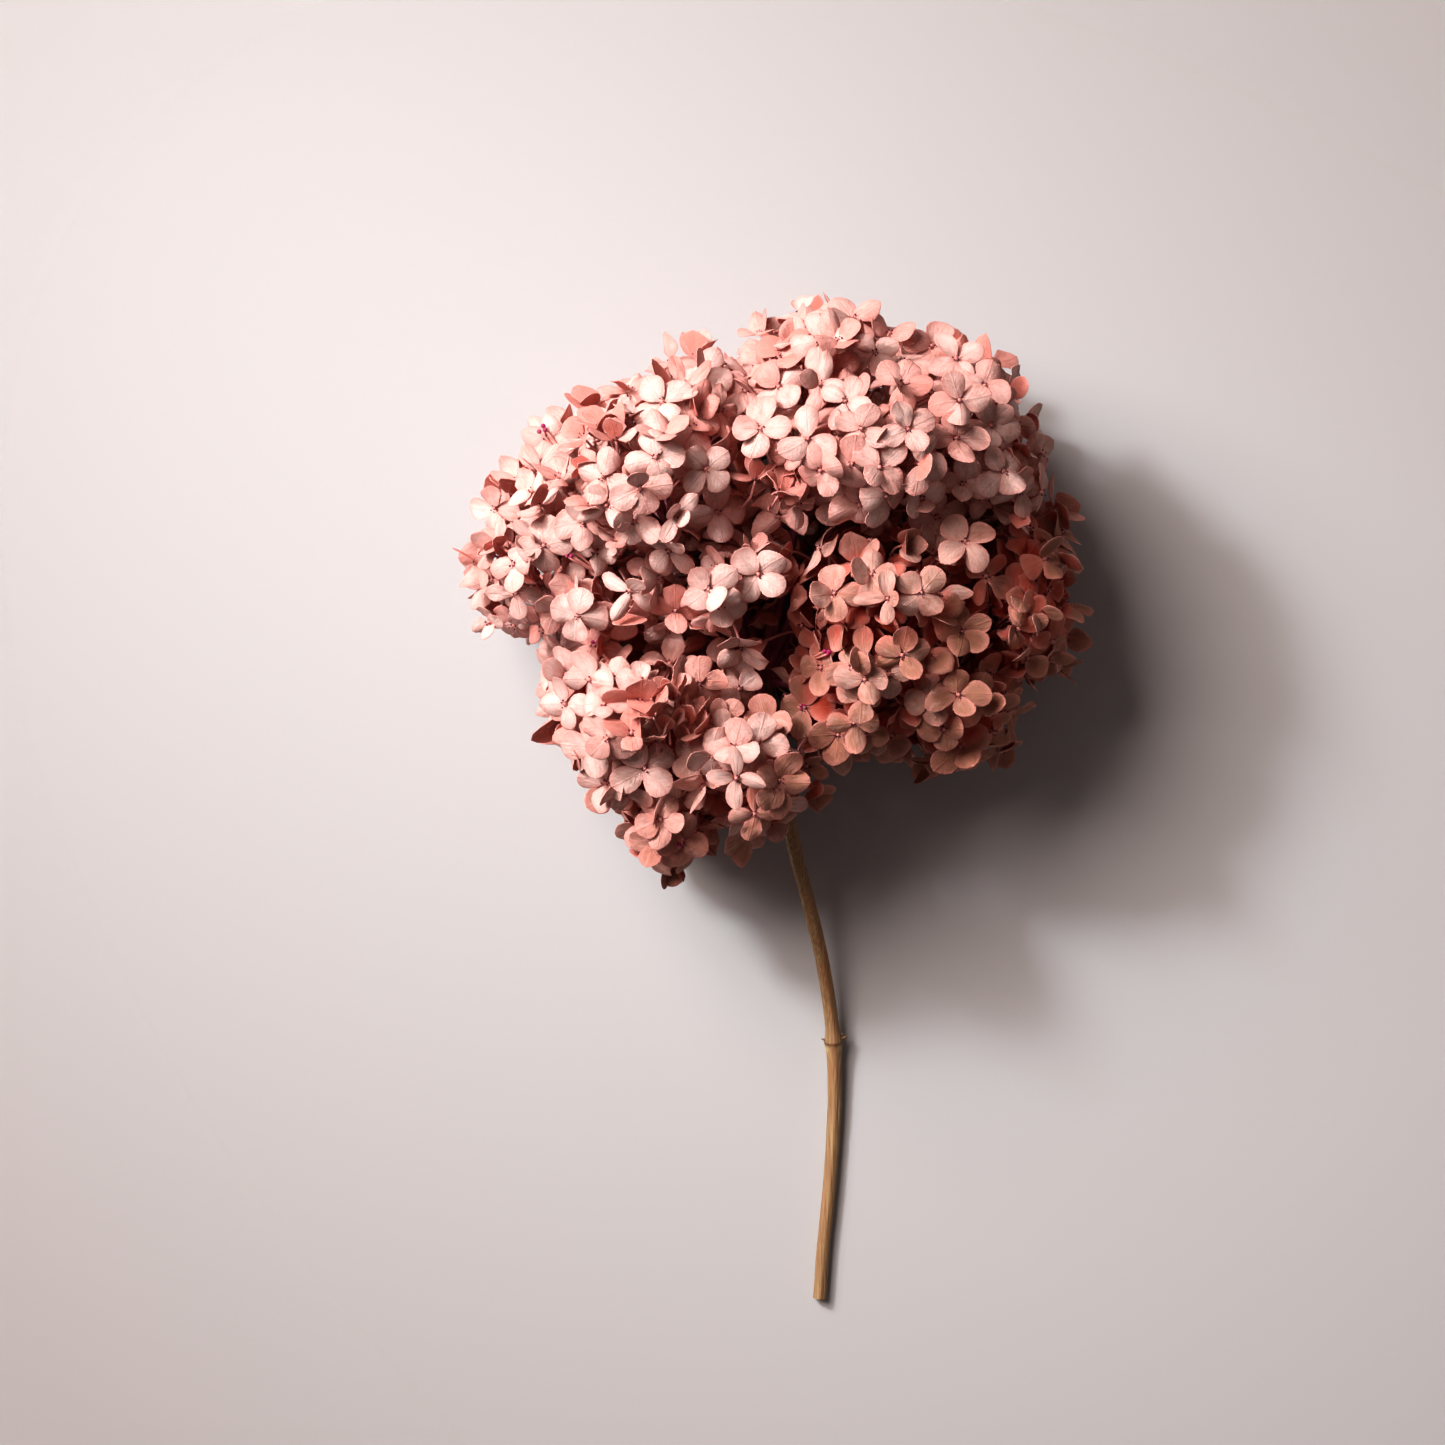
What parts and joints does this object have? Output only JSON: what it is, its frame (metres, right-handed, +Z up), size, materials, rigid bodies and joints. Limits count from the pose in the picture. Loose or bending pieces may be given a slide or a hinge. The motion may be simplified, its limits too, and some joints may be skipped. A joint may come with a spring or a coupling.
{
  "type": "dried hydrangea flower head",
  "caption": "Dried hydrangea flower head lying on its side: rounded lobes of papery four-sepalled florets on a forked, cut woody stem with a swollen leaf joint.",
  "frame": {"origin": "on the surface that the flower lies on, below the middle of the whole object", "axes": "+Y from the cut end of the stem to the top of the head, +Z up from the surface, +X to the right seen from above"},
  "size_m": [0.2114, 0.3423, 0.1331],
  "materials": {
    "dry_stem": "dry golden-brown bark, fibrous and matte",
    "sepals_left": "papery dried sepals, dusty pink with coral edges, matte",
    "sepals_upper": "papery dried sepals, pale dusty pink, matte",
    "sepals_right": "papery dried sepals, tan and brownish pink, matte",
    "sepals_lower": "papery dried sepals, pink with coral undersides, matte"
  },
  "bodies": {
    "root": {"stem": "dry_stem", "florets_left": "sepals_left", "florets_upper": "sepals_upper", "florets_right": "sepals_right", "florets_lower": "sepals_lower"}
  },
  "joints": []
}
